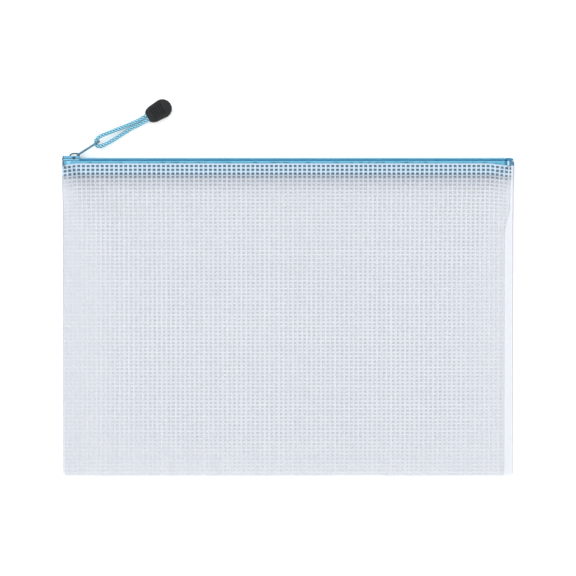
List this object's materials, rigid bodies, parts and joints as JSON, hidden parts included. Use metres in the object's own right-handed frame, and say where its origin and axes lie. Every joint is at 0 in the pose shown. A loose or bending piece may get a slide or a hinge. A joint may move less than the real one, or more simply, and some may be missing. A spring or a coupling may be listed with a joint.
{
  "type": "mesh zipper bag",
  "caption": "Flat zipped pouch of clear film with a white woven grid, with a coil zip along its top edge and a cord on the zip pull.",
  "frame": {"origin": "middle of the bag, on the outer face of the back panel", "axes": "+X along the zip towards its bottom stop, +Y from the bottom weld to the zip, +Z out of the front panel"},
  "size_m": [0.3386, 0.2826, 0.01],
  "materials": {
    "mesh": "clear glossy film with a white woven grid",
    "tape": "translucent glossy blue",
    "nylon": "satin",
    "filler": "white spun cord",
    "slider": "glossy light blue paint",
    "steel": "plated",
    "cord": "braided, light blue with dark blue flecks",
    "cord_end": "matt black"
  },
  "bodies": {
    "bag": {"front_panel": "mesh", "back_panel": "mesh", "front_tape": "tape", "back_tape": "tape", "front_coil": "nylon", "back_coil": "nylon", "front_filler_cord": "filler", "back_filler_cord": "filler", "top_stop_front": "nylon", "top_stop_back": "nylon", "bottom_stop": "nylon"},
    "slider": {"slider_body": "slider", "slider_bail": "steel"},
    "pull": {"pull_loop": "steel"},
    "cord_tag": {"cord": "cord", "cord_end": "cord_end"}
  },
  "joints": [
    {"name": "slider_travel", "type": "slide", "parent": "bag", "child": "slider", "axis": [1, 0, 0], "range_m": [0, 0.319], "deforming": ["front_coil", "back_coil"]},
    {"name": "pull_swing", "type": "hinge", "parent": "slider", "child": "pull", "pos_m": [-0.15765, 0.12155, 0.005], "axis": [0, 0, 1], "range_deg": [-12, 100]},
    {"name": "cord_swing", "type": "hinge", "parent": "pull", "child": "cord_tag", "pos_m": [-0.14144, 0.13184, 0.005], "axis": [0, 0, 1], "range_deg": [-12, 40]}
  ]
}
